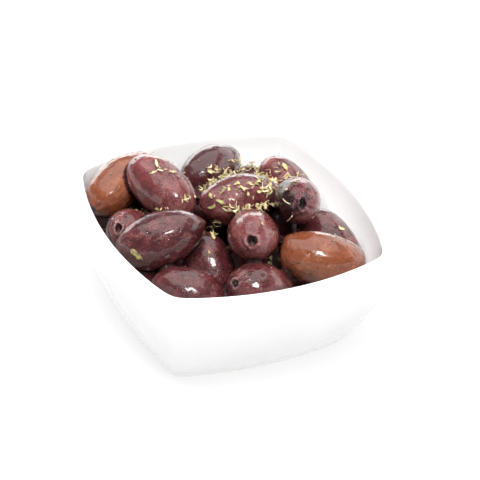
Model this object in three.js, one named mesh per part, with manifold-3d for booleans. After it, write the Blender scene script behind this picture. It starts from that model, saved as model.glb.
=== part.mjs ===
// A dish of olives: a small square bowl of white glazed porcelain, heaped with
// whole dark olives that are sprinkled with dried oregano.
// Millimetres, +Z up. The origin is the middle of the foot, on the table.
// +X and +Y point at the middles of two sides of the square bowl.
import * as THREE from 'three';
import Module from 'manifold-3d';

const wasm = await Module();
wasm.setup();

// ---- Bowl: driving dimensions
const bowlHeight = 38;
const rimCorner = 38.5;        // half-width of the rim, measured at its corners
const rimBulge = 6.5;          // how far the middle of a rim side stands out past its corners
const footCorner = 29;
const footBulge = 3.5;
const wallFlare = 1.3;         // above 0 the wall leans out low down and stands upright at the rim
const cornerSharpness = 34;    // the higher, the tighter the four corners
const rimThickness = 2.4;
const footThickness = 3.2;     // thickness of the wall where it meets the floor
const floorHeight = 4.4;
const floorFillet = 9;
const footEdgeRadius = 0.9;
const footRingWidth = 4;
const footRecess = 0.8;
const stepsPerSide = 12;
const wallSteps = 7;
const lipSteps = 3;
const filletSteps = 4;

// ---- Olives: what they all share
const dishGap = 0.4;           // clearance between the heap and the bowl
const stemFullness = 0.07;     // how much fuller the stem half is than the pointed half
const tipSharpness = 0.18;     // 0 is a round tip
const dimpleRadius = 1.5;      // of the hollow where the stem was
const dimpleFloorRadius = 0.9;
const dimpleLipDrop = 0.15;    // how far below the stem end its lip lies
const dimpleDepth = 0.9;

// Each olive: the middle of its length, the compass turn and the upward lean of its
// stem end (degrees), its length and its girth.
const upperFacets = { sides: 16, rings: 8 };
const upperOlives = [
  { at: [-26, 28.5, 36], turn: -149, lean: -13, long: 30, girth: 15, dimple: true },
  { at: [-18.5, 14.5, 41.5], turn: -53, lean: -23, long: 25.5, girth: 16.5 },
  { at: [-29, 11, 28.5], turn: -138, lean: 37, long: 27, girth: 15, dimple: true },
  { at: [-27, -6, 37], turn: 171, lean: -18, long: 29, girth: 17.5 },
  { at: [-23, -22, 26], turn: 140, lean: 8, long: 25, girth: 16 },
  { at: [-11.5, -12, 24], turn: 99, lean: 53, long: 27.5, girth: 16.5 },
  { at: [4.5, 3, 39.5], turn: 172, lean: -6, long: 28, girth: 16 },
  { at: [7, 29.5, 34], turn: -153, lean: 3, long: 27, girth: 15 },
  { at: [28, 13.5, 30.5], turn: 109, lean: 26, long: 27.5, girth: 16 },
  { at: [18, -10.5, 43.5], turn: -115, lean: 33, long: 27.5, girth: 15, dimple: true },
  { at: [30, -15, 27.5], turn: 117, lean: 35, long: 27.5, girth: 16 },
  { at: [19, -26.5, 32.5], turn: 156, lean: 14, long: 27.5, girth: 17 },
  { at: [0.5, -14.5, 38], turn: -118, lean: 27, long: 27, girth: 16.5, dimple: true },
  { at: [-1.5, -28.5, 26.5], turn: -170, lean: 32, long: 26.5, girth: 17.5 },
];

// The lower ones, which show in the gaps and from above.
const lowerFacets = { sides: 12, rings: 6 };
const lowerOlives = [
  { at: [-25.5, 27, 18], turn: 6, lean: -45, long: 27, girth: 16.5 },
  { at: [-9.5, 32.5, 25.5], turn: 3, lean: -10, long: 27, girth: 16.5 },
  { at: [7, 29.5, 15.5], turn: 17, lean: 29, long: 27, girth: 16 },
  { at: [27, 28.5, 18.5], turn: 136, lean: 35, long: 26, girth: 15.5 },
  { at: [30, 1.5, 15.5], turn: 105, lean: -21, long: 27.5, girth: 16 },
  { at: [24, -26, 15], turn: 51, lean: -32, long: 27, girth: 17 },
  { at: [6.5, -19.5, 13.5], turn: -13, lean: -13, long: 26, girth: 16.5 },
  { at: [-10, -28.5, 13.5], turn: 174, lean: 13, long: 26.5, girth: 16.5 },
  { at: [-31, -3.5, 20], turn: 77, lean: -11, long: 27, girth: 16 },
  { at: [-24.5, -17, 12.5], turn: 62, lean: 5, long: 27, girth: 16 },
  { at: [-4.5, 17, 26], turn: 27, lean: -21, long: 27, girth: 16.5 },
  { at: [-17, 7, 15.5], turn: 106, lean: -14, long: 28, girth: 16.5 },
  { at: [17, 2.5, 24.5], turn: 125, lean: -79, long: 26.5, girth: 15.5 },
  { at: [12.5, -12.5, 23.5], turn: 141, lean: 8, long: 27, girth: 16.5 },
  { at: [16, 18, 21.5], turn: 156, lean: 51, long: 27, girth: 16 },
];

// The packed middle of the heap, which the lowest olives stand in.
const coreTop = 14;
const coreCrown = 8;

// ---- Oregano: drops along lines over the heap, seen from above
const flakeSeed = 11;
const flakeLength = [2.2, 4.4];
const flakeWidth = [0.9, 1.6];
const flakeLift = 0.15;        // how high the rim of a flake stands off the skin
const flakeCrown = 0.25;       // how much higher its middle is
const flakeRoot = 0.7;         // how deep it is joined to the skin
const flakeMargin = 1.5;       // flakes keep this far inside the wall
const flakeLeastUp = 0.45;     // none stay where the skin faces up less than this (1 is level)
const sprinkles = [
  { from: [-2, 20], to: [14, 25], spread: 1.2, count: 14 },
  { from: [-6, 6], to: [11, 3], spread: 1.6, count: 18 },
  { from: [4, -1], to: [12, -1], spread: 0.8, count: 7 },
  { from: [12, 5], to: [25, 18], spread: 2.0, count: 15 },
  { from: [12, -15], to: [24, -4], spread: 2.2, count: 4 },
  { from: [-21, 13], to: [-14, 6], spread: 2.0, count: 5 },
  { from: [-38, -12], to: [-30, 10], spread: 1.6, count: 3 },
  { from: [-11, -9], to: [-5, 3], spread: 1.0, count: 4 },
  { from: [0, -19], to: [-2, -30], spread: 1.2, count: 2 },
  { from: [28, 19], to: [32, -14], spread: 1.2, count: 4 },
];

// ---- Shared shape makers

// A closed skin over a stack of loops, with the same number of points in each. The loops run
// anticlockwise about the way the stack goes, from the point `start` to the point `end`.
function loft(start, loops, end) {
  const around = loops[0].length;
  const points = [start, ...loops.flat(), end];
  const last = points.length - 1;
  const index = [];
  const at = (loop, step) => 1 + loop * around + (step % around);
  for (let step = 0; step < around; step += 1) {
    index.push(0, at(0, step + 1), at(0, step));
    for (let loop = 0; loop + 1 < loops.length; loop += 1) {
      index.push(at(loop, step), at(loop, step + 1), at(loop + 1, step + 1));
      index.push(at(loop, step), at(loop + 1, step + 1), at(loop + 1, step));
    }
    index.push(last, at(loops.length - 1, step), at(loops.length - 1, step + 1));
  }
  const geometry = new THREE.BufferGeometry().setFromPoints(points);
  geometry.setIndex(index);
  return geometry;
}

function toSolid(geometry) {
  return new wasm.Manifold(new wasm.Mesh({
    numProp: 3,
    vertProperties: new Float32Array(geometry.attributes.position.array),
    triVerts: new Uint32Array(geometry.index.array),
  }));
}

function toGeometry(solid) {
  const mesh = solid.getMesh();
  const geometry = new THREE.BufferGeometry();
  geometry.setAttribute('position', new THREE.BufferAttribute(new Float32Array(mesh.vertProperties), 3));
  geometry.setIndex(new THREE.BufferAttribute(new Uint32Array(mesh.triVerts), 1));
  return geometry;
}

// ---- The bowl's plan and wall

// Distance from the middle to one bulging side, along a direction that is `across` the side and
// `along` it. The side is the parabola x = half + bulge - bulge (y / half)^2.
function sideDistance(across, along, half, bulge) {
  const curve = bulge * along * along / (half * half);
  if (curve < 1e-9) return (half + bulge) / across;
  return (-across + Math.sqrt(across * across + 4 * curve * (half + bulge))) / (2 * curve);
}

// Both pairs of sides blend into one outline whose corners are a little rounded.
function planRadius(angle, half, bulge) {
  const c = Math.abs(Math.cos(angle));
  const s = Math.abs(Math.sin(angle));
  const toX = sideDistance(c, s, half, bulge);
  const toY = sideDistance(s, c, half, bulge);
  return (toX ** -cornerSharpness + toY ** -cornerSharpness) ** (-1 / cornerSharpness);
}

// The outline at one height, with closer steps towards its corners.
function squareLoop(half, bulge, z) {
  const points = [];
  for (let side = 0; side < 4; side += 1) {
    for (let step = 0; step < stepsPerSide; step += 1) {
      const run = Math.sin((step / stepsPerSide - 0.5) * Math.PI);
      const angle = side * Math.PI / 2 + Math.atan(run);
      const radius = planRadius(angle, half, bulge);
      points.push(new THREE.Vector3(radius * Math.cos(angle), radius * Math.sin(angle), z));
    }
  }
  return points;
}

function outerHalf(z) {
  const rise = z / bowlHeight;
  return footCorner + (rimCorner - footCorner) * ((1 + wallFlare) * rise - wallFlare * rise * rise);
}

function outerBulge(z) {
  return footBulge + (rimBulge - footBulge) * z / bowlHeight;
}

function wallThickness(z) {
  return footThickness + (rimThickness - footThickness) * z / bowlHeight;
}

// Half-width of the hollow, with the round fillet where the wall meets the floor.
function innerHalf(z) {
  const short = Math.max(0, floorFillet - (z - floorHeight));
  const fillet = floorFillet - Math.sqrt(Math.max(0, floorFillet ** 2 - short ** 2));
  return outerHalf(z) - wallThickness(z) - fillet;
}

function makeBowl() {
  const lip = rimThickness / 2;
  const loops = [];
  const ringInner = footCorner - footEdgeRadius - footRingWidth;
  loops.push(squareLoop(ringInner - footRecess, footBulge, footRecess));
  loops.push(squareLoop(ringInner, footBulge, 0));
  loops.push(squareLoop(footCorner - footEdgeRadius, footBulge, 0));
  for (let step = 0; step <= wallSteps; step += 1) {
    const z = footEdgeRadius + (bowlHeight - lip - footEdgeRadius) * step / wallSteps;
    loops.push(squareLoop(outerHalf(z), outerBulge(z), z));
  }
  const lipMiddle = outerHalf(bowlHeight) - lip;
  for (let step = 1; step <= lipSteps; step += 1) {
    const swing = Math.PI * step / (lipSteps + 1);
    const z = bowlHeight - lip + lip * Math.sin(swing);
    loops.push(squareLoop(lipMiddle + lip * Math.cos(swing), rimBulge, z));
  }
  for (let step = 0; step <= wallSteps; step += 1) {
    const z = bowlHeight - lip + (floorHeight + floorFillet - bowlHeight + lip) * step / wallSteps;
    loops.push(squareLoop(innerHalf(z), outerBulge(z), z));
  }
  for (let step = 1; step <= filletSteps; step += 1) {
    const swing = Math.PI / 2 * step / filletSteps;
    const z = floorHeight + floorFillet * (1 - Math.sin(swing));
    loops.push(squareLoop(innerHalf(z), outerBulge(z), z));
  }
  return loft(new THREE.Vector3(0, 0, footRecess), loops, new THREE.Vector3(0, 0, floorHeight));
}

// ---- Olives

function stemDirection(olive) {
  const turn = THREE.MathUtils.degToRad(olive.turn);
  const lean = THREE.MathUtils.degToRad(olive.lean);
  const flat = Math.cos(lean);
  return new THREE.Vector3(flat * Math.cos(turn), flat * Math.sin(turn), Math.sin(lean));
}

// Radius at an angle along the olive: 0 at the stem, PI at the tip. The power above 1 near the
// tip draws it out to a point.
function oliveRadius(olive, angle) {
  const towardTip = (1 - Math.cos(angle)) / 2;
  const power = 1 + tipSharpness * towardTip * towardTip;
  return olive.girth / 2 * Math.sin(angle) ** power * (1 + stemFullness * Math.cos(angle));
}

function makeOlive(olive, facets) {
  const loops = [];
  const addLoop = (radius, z) => {
    const loop = [];
    for (let side = 0; side < facets.sides; side += 1) {
      const angle = 2 * Math.PI * side / facets.sides;
      loop.push(new THREE.Vector3(radius * Math.cos(angle), radius * Math.sin(angle), z));
    }
    loops.push(loop);
  };
  for (let ring = facets.rings; ring >= 1; ring -= 1) {
    const angle = Math.PI * ring / (facets.rings + 1);
    addLoop(oliveRadius(olive, angle), olive.long / 2 * Math.cos(angle));
  }
  let stemEnd = olive.long / 2;
  if (olive.dimple) {
    addLoop(dimpleRadius, stemEnd - dimpleLipDrop);
    addLoop(dimpleFloorRadius, stemEnd - dimpleDepth);
    stemEnd -= dimpleDepth;
  }
  const geometry = loft(new THREE.Vector3(0, 0, -olive.long / 2), loops, new THREE.Vector3(0, 0, stemEnd));
  const up = new THREE.Vector3(0, 0, 1);
  geometry.applyQuaternion(new THREE.Quaternion().setFromUnitVectors(up, stemDirection(olive)));
  geometry.translate(...olive.at);
  return geometry;
}

// The room for the heap: the bowl's hollow raised and drawn in by the gap, and open above the rim.
function makeRoom() {
  const loops = [];
  const addLoop = (z) => {
    loops.push(squareLoop(innerHalf(z) - dishGap, outerBulge(z), z + dishGap));
  };
  for (let step = filletSteps; step >= 1; step -= 1) {
    addLoop(floorHeight + floorFillet * (1 - Math.sin(Math.PI / 2 * step / filletSteps)));
  }
  for (let step = 0; step <= wallSteps; step += 1) {
    addLoop(floorHeight + floorFillet + (bowlHeight - floorHeight - floorFillet) * step / wallSteps);
  }
  const top = bowlHeight * 2;
  loops.push(squareLoop(rimCorner, rimBulge, bowlHeight + 2 * dishGap));
  loops.push(squareLoop(rimCorner, rimBulge, top));
  return loft(new THREE.Vector3(0, 0, floorHeight + dishGap), loops, new THREE.Vector3(0, 0, top));
}

// The core fills the bottom of the hollow and rises a little in the middle.
function makeCore() {
  const loops = [floorHeight, coreTop].map((z) => squareLoop(rimCorner, rimBulge, z));
  const bottom = new THREE.Vector3(0, 0, floorHeight);
  return loft(bottom, loops, new THREE.Vector3(0, 0, coreTop + coreCrown));
}

// ---- Oregano

// Repeatable draws between 0 and 1 (a 32-bit multiply and shift generator).
function makeDraw(seed) {
  let state = seed;
  return () => {
    state = (state + 0x6d2b79f5) | 0;
    let mixed = Math.imul(state ^ (state >>> 15), 1 | state);
    mixed = (mixed + Math.imul(mixed ^ (mixed >>> 7), 61 | mixed)) ^ mixed;
    return ((mixed ^ (mixed >>> 14)) >>> 0) / 4294967296;
  };
}

// The skin of the topmost olive under a point in plan, and the way it faces there.
function landOn(x, y) {
  let landing = null;
  for (const olive of [...upperOlives, ...lowerOlives]) {
    const stem = stemDirection(olive);
    const longSquare = (olive.long / 2) ** 2;
    const wideSquare = (olive.girth / 2) ** 2;
    const form = (v) => {
      const run = v.dot(stem);
      return stem.clone().multiplyScalar(run / longSquare - run / wideSquare)
        .addScaledVector(v, 1 / wideSquare);
    };
    const middle = new THREE.Vector3(...olive.at);
    const offset = new THREE.Vector3(x, y, 0).sub(middle);
    const drop = new THREE.Vector3(0, 0, 1);
    const a = drop.dot(form(drop));
    const b = drop.dot(form(offset));
    const c = offset.dot(form(offset)) - 1;
    const root = b * b - a * c;
    if (root <= 0) continue;
    const z = (-b + Math.sqrt(root)) / a;
    if (landing && z < landing.point.z) continue;
    const point = new THREE.Vector3(x, y, z);
    const facing = form(point.clone().sub(middle)).normalize();
    landing = { point, facing, roundness: olive.girth / 2 };
  }
  return landing;
}

// A flake is a flat six-cornered leaf scrap, bent to the skin that it lies on.
function makeFlake(landing, length, width, turn) {
  const side = new THREE.Vector3(Math.cos(turn), Math.sin(turn), 0);
  side.addScaledVector(landing.facing, -side.dot(landing.facing)).normalize();
  const cross = landing.facing.clone().cross(side);
  const place = (along, across, height) => {
    const sag = (along * along + across * across) / (2 * landing.roundness);
    return landing.point.clone().addScaledVector(side, along).addScaledVector(cross, across)
      .addScaledVector(landing.facing, height - sag);
  };
  const outline = [[0.5, 0], [0.22, 0.5], [-0.26, 0.42], [-0.5, 0], [-0.2, -0.5], [0.28, -0.4]];
  const loop = outline.map(([u, v]) => place(u * length, v * width, flakeLift));
  return loft(place(0, 0, -flakeRoot), [loop], place(0, 0, flakeLift + flakeCrown));
}

function makeFlakes() {
  const draw = makeDraw(flakeSeed);
  const between = ([low, high]) => low + (high - low) * draw();
  const flakes = [];
  for (const { from, to, spread, count } of sprinkles) {
    for (let drop = 0; drop < count; drop += 1) {
      const run = (drop + draw()) / count;
      const x = from[0] + (to[0] - from[0]) * run + spread * (2 * draw() - 1);
      const y = from[1] + (to[1] - from[1]) * run + spread * (2 * draw() - 1);
      const length = between(flakeLength);
      const width = between(flakeWidth);
      const turn = 2 * Math.PI * draw();
      const landing = landOn(x, y);
      const reach = length / 2 + flakeMargin;
      const room = planRadius(Math.atan2(y, x), innerHalf(bowlHeight) - dishGap, rimBulge);
      const lands = landing && landing.facing.z > flakeLeastUp && Math.hypot(x, y) + reach < room;
      if (lands) flakes.push(makeFlake(landing, length, width, turn));
    }
  }
  return flakes;
}

// The heap is one solid: core, olives and oregano joined, then kept clear of the bowl. Scraps
// that touch nothing are dropped.
function makeHeap() {
  let heap = toSolid(makeCore());
  for (const olive of upperOlives) heap = heap.add(toSolid(makeOlive(olive, upperFacets)));
  for (const olive of lowerOlives) heap = heap.add(toSolid(makeOlive(olive, lowerFacets)));
  for (const flake of makeFlakes()) heap = heap.add(toSolid(flake));
  heap = heap.intersect(toSolid(makeRoom()));
  const pieces = heap.decompose();
  const largest = pieces.reduce((best, piece) => (piece.volume() > best.volume() ? piece : best));
  return toGeometry(largest);
}

// ---- Assembly

function part(name, geometry, color, roughness) {
  const material = new THREE.MeshStandardMaterial({ color, roughness, metalness: 0 });
  const mesh = new THREE.Mesh(geometry, material);
  mesh.name = name;
  return mesh;
}

const dish = new THREE.Group();
dish.add(part('bowl', makeBowl(), 0xf4f3ef, 0.15));
dish.add(part('olives', makeHeap(), 0x5a2c33, 0.3));

export default dish;
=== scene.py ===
"""A dish of olives: a small square bowl of white glazed porcelain, heaped with whole dark
olives in a little oil and sprinkled with dried oregano.

The sections follow the dish as it is put together. Values are in millimetres and degrees, and
every mesh is turned into metres when it is made.
"""

import math
from collections import namedtuple

import bpy
import numpy as np
from mathutils import Matrix, Vector
from mathutils.bvhtree import BVHTree


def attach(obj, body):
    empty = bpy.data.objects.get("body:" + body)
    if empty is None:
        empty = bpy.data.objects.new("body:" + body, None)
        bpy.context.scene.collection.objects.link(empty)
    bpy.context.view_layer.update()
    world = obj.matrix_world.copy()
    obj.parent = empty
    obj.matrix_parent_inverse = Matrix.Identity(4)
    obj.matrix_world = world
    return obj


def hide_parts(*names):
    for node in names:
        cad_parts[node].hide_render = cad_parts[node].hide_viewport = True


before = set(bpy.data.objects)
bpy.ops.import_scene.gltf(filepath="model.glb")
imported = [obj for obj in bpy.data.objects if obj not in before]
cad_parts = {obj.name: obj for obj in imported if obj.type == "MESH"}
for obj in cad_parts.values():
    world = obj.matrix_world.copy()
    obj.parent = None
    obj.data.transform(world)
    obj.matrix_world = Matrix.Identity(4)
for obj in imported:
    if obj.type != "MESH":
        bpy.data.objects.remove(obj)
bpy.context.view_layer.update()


# ---- The bowl --------------------------------------------
# One piece of white porcelain, cast in a mould, with four bowed sides and a rounded lip. It is
# dipped in a clear glossy glaze, and its foot ring is wiped bare before the firing.

MM = 0.001
BOWL_HEIGHT = 38.0
RIM_CORNER, RIM_BULGE = 38.5, 6.5
FOOT_CORNER, FOOT_BULGE = 29.0, 3.5
WALL_FLARE = 1.3
CORNER_SHARPNESS = 34.0
RIM_THICKNESS, FOOT_THICKNESS = 2.4, 3.2
FLOOR_HEIGHT, FLOOR_FILLET = 4.4, 9.0
FOOT_EDGE, FOOT_RING, FOOT_RECESS = 0.9, 4.0, 0.8
CAST_WAVER, CAST_WAVES, CAST_RUN = 0.12, 5, 60  # how far the cast wall strays, and in what waves
WAVE_RANGE = (0.75, 1.35)  # the shortest and the longest wave, against the one asked for
STEPS_A_SIDE, WALL_STEPS, LIP_STEPS, FILLET_STEPS, FOOT_STEPS = 44, 26, 18, 14, 6
GLAZE_WHITE, GLAZE_SHADE = (0.940, 0.937, 0.923), 0.975  # its cloudy parts are that much of it
GLAZE_CLOUDS, GLAZE_SPECKS = 45.0, 900.0  # how many to a metre
GLAZE_RELIEF = 0.35
BISCUIT = (0.80, 0.77, 0.71)
BISCUIT_FROM, BISCUIT_TO = 0.45, 0.25  # the heights between which the glaze gives way to it
PORCELAIN_GLOW = {
    "Subsurface_Weight": 0.8,
    "Subsurface_Scale": 4 * MM,
    "Subsurface_Radius": (1.0, 1.0, 0.95),
}


def side_distance(across, along, half, bulge):
    """How far the bowed side is from the middle, along a direction that is `across` the side
    and `along` it. The side is the parabola x = half + bulge - bulge (y / half)^2."""
    curve = np.maximum(bulge * along**2 / half**2, 1e-9)
    return (-across + np.sqrt(across**2 + 4 * curve * (half + bulge))) / (2 * curve)


def plan_radius(angle, half, bulge):
    """Radius of the bowl's outline: the distances to the two pairs of bowed sides, X and Y,
    blended as (X^-q + Y^-q)^(-1/q), which rounds the corners a little."""
    cos, sin = np.abs(np.cos(angle)), np.abs(np.sin(angle))
    to_x = side_distance(cos, sin, half, bulge)
    to_y = side_distance(sin, cos, half, bulge)
    return (to_x**-CORNER_SHARPNESS + to_y**-CORNER_SHARPNESS) ** (-1 / CORNER_SHARPNESS)


def outer_half(z):
    """Half-width at the corners: from foot to rim by (1 + f) s - f s^2, where s = z / height."""
    rise = z / BOWL_HEIGHT
    return FOOT_CORNER + (RIM_CORNER - FOOT_CORNER) * ((1 + WALL_FLARE) * rise - WALL_FLARE * rise**2)


def outer_bulge(z):
    """The sides bow out more with height, in a straight line from foot to rim."""
    return FOOT_BULGE + (RIM_BULGE - FOOT_BULGE) * z / BOWL_HEIGHT


def inner_half(z):
    """The outer half-width less the wall, which thins towards the rim, and less the quarter
    circle of the fillet where the wall meets the floor."""
    wall = FOOT_THICKNESS + (RIM_THICKNESS - FOOT_THICKNESS) * z / BOWL_HEIGHT
    short = np.clip(FLOOR_FILLET - (z - FLOOR_HEIGHT), 0, FLOOR_FILLET)
    return outer_half(z) - wall - FLOOR_FILLET + np.sqrt(FLOOR_FILLET**2 - short**2)


def square_loops(half, bulge, z):
    """Loops of points, one for each height z, on the outlines that half and bulge give. The
    steps are closer towards the corners: angle = atan(sin(s)), s from -90 to 90 degrees."""
    run = np.sin((np.arange(STEPS_A_SIDE) / STEPS_A_SIDE - 0.5) * np.pi)
    angle = (np.arange(4)[:, None] * np.pi / 2 + np.arctan(run)).ravel()
    radius = plan_radius(angle, np.asarray(half)[:, None], np.asarray(bulge)[:, None])
    height = np.broadcast_to(np.asarray(z)[:, None], radius.shape)
    return np.stack([radius * np.cos(angle), radius * np.sin(angle), height], -1)


def waves(points, count, wavelength, seed):
    """A smooth random field from -1 to 1: the mean of `count` sine waves that run in random
    directions at about the wavelength, scaled up to keep its depth."""
    draw = np.random.default_rng(seed)
    way = draw.normal(size=(count, 3))
    way /= np.linalg.norm(way, axis=1, keepdims=True)
    way *= 2 * np.pi / (wavelength * draw.uniform(*WAVE_RANGE, (count, 1)))
    return np.sin(points @ way.T + draw.uniform(0, 2 * np.pi, count)).sum(-1) / np.sqrt(count * 2)


def closed_skin(start, loops, end):
    """Points and faces of a closed skin: the pole `start`, a stack of loops with the same
    number of points in each, and the pole `end`. The loops run anticlockwise about the stack."""
    count, around = loops.shape[:2]
    points = np.vstack([start, loops.reshape(-1, 3), end])
    step = np.arange(around)
    after = (step + 1) % around
    row = 1 + around * np.arange(count - 1)[:, None]
    quads = np.stack([row + step, row + after, row + around + after, row + around + step], -1)
    top = 1 + around * (count - 1)
    first = np.stack([step * 0, 1 + after, 1 + step], -1)
    last = np.stack([step * 0 + len(points) - 1, top + step, top + after], -1)
    return points, [*quads.reshape(-1, 4).tolist(), *first.tolist(), *last.tolist()]


def joined(skins):
    """Points and faces of several skins as one list each."""
    shift = np.cumsum([0] + [len(points) for points, some in skins])
    faces = [[i + by for i in face] for (points, some), by in zip(skins, shift) for face in some]
    return np.vstack([points for points, some in skins]), faces


scene = bpy.context.scene


def put_in(name, data):
    """A new object of that mesh, camera or light, in the scene."""
    thing = bpy.data.objects.new(name, data)
    scene.collection.objects.link(thing)
    return thing


def make_piece(name, skins, surface, fields=None):
    """One smooth mesh object from a list of (points, faces) in millimetres, riding on the root
    body. Fields are the named numbers or vectors of each point that its material reads."""
    points, faces = joined(skins)
    mesh = bpy.data.meshes.new(name)
    mesh.from_pydata(points * MM, [], faces)
    mesh.shade_smooth()
    for field, values in (fields or {}).items():
        vector = values.ndim == 2
        attribute = mesh.attributes.new(field, "FLOAT_VECTOR" if vector else "FLOAT", "POINT")
        attribute.data.foreach_set("vector" if vector else "value", values.astype(np.float32).ravel())
    mesh.materials.append(surface.material)
    piece = put_in(name, mesh)
    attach(piece, "root")
    return piece


class Wire:
    """An output socket that Python arithmetic works on: each operator adds one Math node."""

    def __init__(self, surface, socket):
        self.surface, self.socket = surface, socket

    def maths(self, operation, first, second=0.0):
        return self.surface.add("Math", {"operation": operation}, {0: first, 1: second})

    def __add__(self, other):
        return self.maths("ADD", self, other)

    def __sub__(self, other):
        return self.maths("SUBTRACT", self, other)

    def __rsub__(self, other):
        return self.maths("SUBTRACT", other, self)

    def __mul__(self, other):
        return self.maths("MULTIPLY", self, other)

    __radd__, __rmul__ = __add__, __mul__

    def fraction(self):
        """What is left of it past the whole number below."""
        return self.maths("FRACT", self)

    def step(self, low, high):
        """0 below low, 1 above high and smooth between. With low above high it falls."""
        settings = {"interpolation_type": "SMOOTHSTEP", "clamp": True}
        sockets = {"Value": self, "From Min": low, "From Max": high}
        return self.surface.add("MapRange", settings, sockets)


class Surface:
    """A material whose Principled shader is fed by nodes. Constants go straight on its sockets."""

    def __init__(self, name, **constants):
        self.material = bpy.data.materials.new(name)
        self.material.use_nodes = True
        self.tree = self.material.node_tree
        self.shader = self.tree.nodes["Principled BSDF"]
        for socket, value in constants.items():
            self.feed(self.shader.inputs[socket.replace("_", " ")], value)

    def feed(self, socket, value):
        if isinstance(value, Wire):
            self.tree.links.new(value.socket, socket)
        elif isinstance(value, tuple) and len(value) == 3 and socket.type == "RGBA":
            socket.default_value = (*value, 1.0)
        else:
            socket.default_value = value

    def add(self, kind, settings, sockets, out=0):
        """One node of that kind: its settings first, then the values or links of its sockets."""
        node = self.tree.nodes.new("ShaderNode" + kind)
        for setting, value in settings.items():
            setattr(node, setting, value)
        for socket, value in sockets.items():
            self.feed(node.inputs[socket], value)
        return Wire(self, node.outputs[out])

    def place(self):
        return self.add("TexCoord", {}, {}, "Object")

    def field(self, name, out="Fac"):
        return self.add("Attribute", {"attribute_name": name}, {}, out)

    def noise(self, where, scale, detail=2.0, roughness=0.5, distortion=0.0):
        sockets = {"Vector": where, "Scale": scale, "Detail": detail}
        sockets |= {"Roughness": roughness, "Distortion": distortion}
        return self.add("TexNoise", {}, sockets, "Fac")

    def blend(self, share, first, second):
        """The first colour at share 0 and the second at share 1."""
        return self.add("Mix", {"data_type": "RGBA"}, {0: share, 6: first, 7: second}, 2)

    def finish(self, color, roughness, coat=None, relief=None, relief_depth=0.0):
        """Links what changes over the surface. Relief is a height from 0 to 1, in relief_depth mm."""
        self.feed(self.shader.inputs["Base Color"], color)
        self.feed(self.shader.inputs["Roughness"], roughness)
        if coat is not None:
            self.feed(self.shader.inputs["Coat Weight"], coat)
        if relief is not None:
            sockets = {"Strength": 1.0, "Distance": relief_depth * MM, "Height": relief}
            self.feed(self.shader.inputs["Normal"], self.add("Bump", {}, sockets, "Normal"))


def bowl_skin():
    """The bowl's outline carried up the foot ring's rounded edge and the outer wall, round the
    half circle of the lip, down the inner wall and the fillet, to the middle of the floor."""
    lip = RIM_THICKNESS / 2
    ring_inner = FOOT_CORNER - FOOT_EDGE - FOOT_RING
    edge_out = outer_half(FOOT_EDGE) - FOOT_CORNER + FOOT_EDGE
    edge = np.linspace(0, np.pi / 2, FOOT_STEPS)
    up = np.linspace(FOOT_EDGE, BOWL_HEIGHT - lip, WALL_STEPS)[1:]
    swing = np.linspace(0, np.pi, LIP_STEPS)[1:-1]
    down = np.linspace(BOWL_HEIGHT - lip, FLOOR_HEIGHT + FLOOR_FILLET, WALL_STEPS)
    bend = np.linspace(0, np.pi / 2, FILLET_STEPS)[1:]
    inside = np.concatenate([down, FLOOR_HEIGHT + FLOOR_FILLET * (1 - np.sin(bend))])
    profile = [
        (ring_inner + FOOT_RECESS * np.array([-2, -1, 0]), FOOT_RECESS * np.array([1, 0.7, 0])),
        (FOOT_CORNER - FOOT_EDGE + edge_out * np.sin(edge), FOOT_EDGE * (1 - np.cos(edge))),
        (outer_half(up), up),
        (outer_half(BOWL_HEIGHT) - lip + lip * np.cos(swing), BOWL_HEIGHT - lip + lip * np.sin(swing)),
        (inner_half(inside), inside),
    ]
    half, rise = [np.concatenate(parts) for parts in zip(*profile)]
    bulge = np.where(rise > BOWL_HEIGHT - lip, RIM_BULGE, outer_bulge(rise))
    loops = square_loops(half, bulge, rise)
    ramp = np.clip(rise / BOWL_HEIGHT, 0, 1)[:, None]
    loops[..., 0] += CAST_WAVER * ramp * waves(loops, CAST_WAVES, CAST_RUN, seed=3)
    loops[..., 1] += CAST_WAVER * ramp * waves(loops, CAST_WAVES, CAST_RUN, seed=4)
    return closed_skin([0, 0, FOOT_RECESS], loops, [0, 0, FLOOR_HEIGHT])


def porcelain():
    """Clear glaze over white: its gloss dulls in faint clouds, its face is gently uneven, and
    the bottom of the foot ring is bare biscuit. Light seeps through the thin wall."""
    surface = Surface("white_glazed_porcelain", IOR=1.52, Coat_Roughness=0.03, **PORCELAIN_GLOW)
    place = surface.place()
    height = surface.add("SeparateXYZ", {}, {0: place}, "Z")
    bare = height.step(BISCUIT_FROM * MM, BISCUIT_TO * MM)
    cloud = surface.noise(place, GLAZE_CLOUDS, 3.0)
    speck = surface.noise(place, GLAZE_SPECKS, 4.0)
    white = surface.blend(cloud * 0.5, GLAZE_WHITE, tuple(GLAZE_SHADE * c for c in GLAZE_WHITE))
    color = surface.blend(bare, white, BISCUIT)
    roughness = 0.07 + 0.06 * cloud + bare * 0.5
    surface.finish(color, roughness, 1 - bare, cloud + 0.05 * speck, GLAZE_RELIEF)
    return surface


bowl = make_piece("bowl_glazed", [bowl_skin()], porcelain())
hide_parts("bowl")


# ---- The olives ------------------------------------------
# Whole pickled olives of the long pointed kind, stone in: most are deep plum, two are chestnut
# and one is nearly black. They lie as they were spooned in, each with the scar of its stem.

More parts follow.
